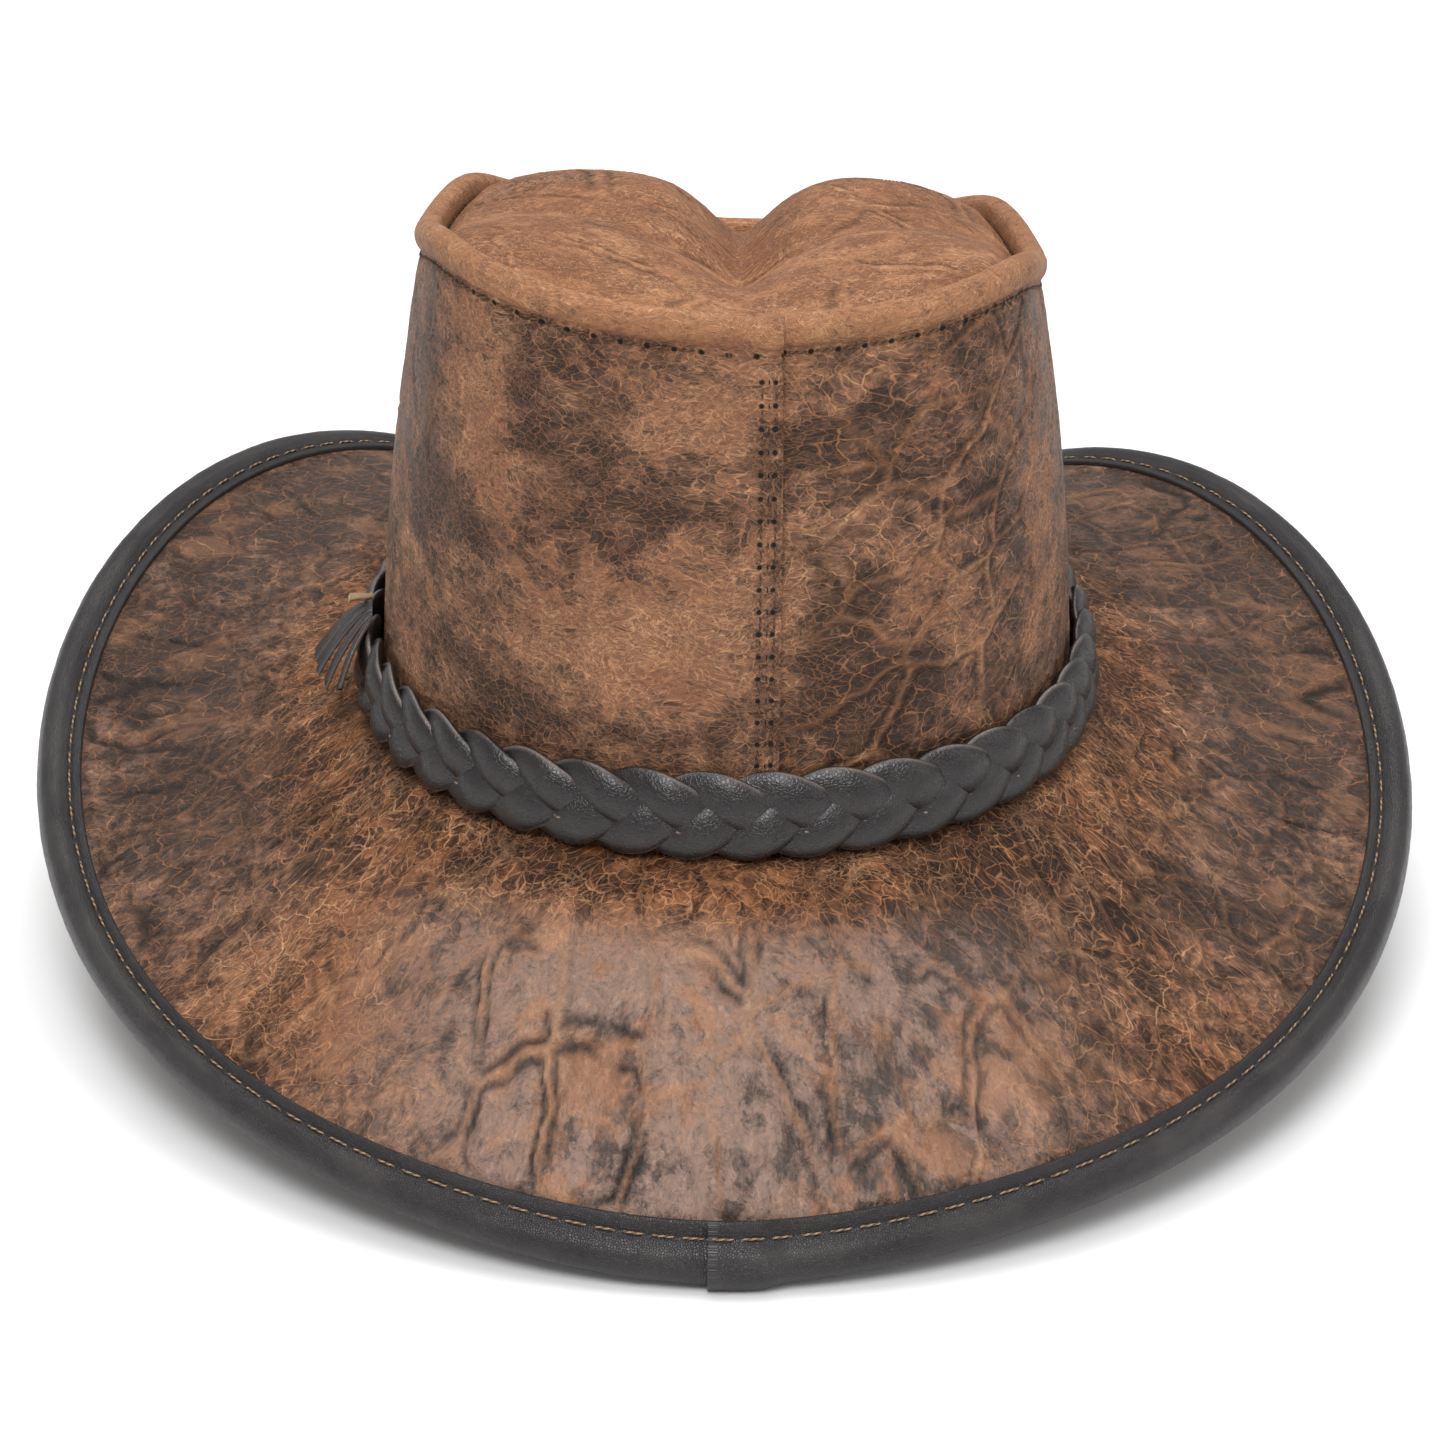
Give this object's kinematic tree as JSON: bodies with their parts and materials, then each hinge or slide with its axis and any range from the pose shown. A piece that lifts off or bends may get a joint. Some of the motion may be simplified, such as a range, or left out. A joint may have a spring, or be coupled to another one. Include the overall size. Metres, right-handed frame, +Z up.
{
  "type": "cowboy hat",
  "caption": "Leather western hat with creased crown, curled and bound brim, sewn-down plaited hat band, side tassel and inner sweatband",
  "frame": {"origin": "centre of the head opening, on the plane where crown and brim meet", "axes": "+Z up, +Y towards the wearer's forehead, +X towards the wearer's right ear"},
  "size_m": [0.3593, 0.3659, 0.2137],
  "materials": {
    "crown_leather": "distressed, semi-matt",
    "brim_leather": "distressed, waxy",
    "binding_leather": "smooth, satin",
    "band_leather": "smooth, satin",
    "thong_flesh_side": "suede",
    "tan_thread": "waxed",
    "sweatband_leather": "smooth",
    "woven_tape": "woven",
    "stiffener_sheet": "matt",
    "spring_wire": "drawn"
  },
  "bodies": {
    "hat": {"crown_wall": "crown_leather", "crown_tip": "crown_leather", "crown_top_stitching": "tan_thread", "crown_tip_seam_stitching": "tan_thread", "back_seam_stitching_left": "tan_thread", "back_seam_stitching_right": "tan_thread", "brim_top_leather": "brim_leather", "brim_stiffener": "stiffener_sheet", "brim_under_leather": "brim_leather", "brim_binding": "binding_leather", "brim_binding_stitching": "tan_thread", "brim_wire": "spring_wire", "brim_wire_ferrule": "spring_wire", "crown_base_tape": "woven_tape", "sweatband": "sweatband_leather", "crown_base_stitching": "tan_thread", "sweatband_stitching": "tan_thread", "hat_band_strand_1": "band_leather", "hat_band_strand_2": "band_leather", "hat_band_strand_3": "band_leather", "hat_band_stitching": "tan_thread"},
    "tassel": {"tassel_thong_1": "band_leather", "tassel_thong_2": "band_leather", "tassel_thong_3": "band_leather", "tassel_thong_4": "band_leather", "tassel_thong_5": "thong_flesh_side"}
  },
  "joints": [
    {"name": "tassel_lift", "type": "hinge", "parent": "hat", "child": "tassel", "pos_m": [-0.08927, -0.01795, 0.0234], "axis": [-0.0844, 0.9964, 0], "range_deg": [0, 70]}
  ]
}
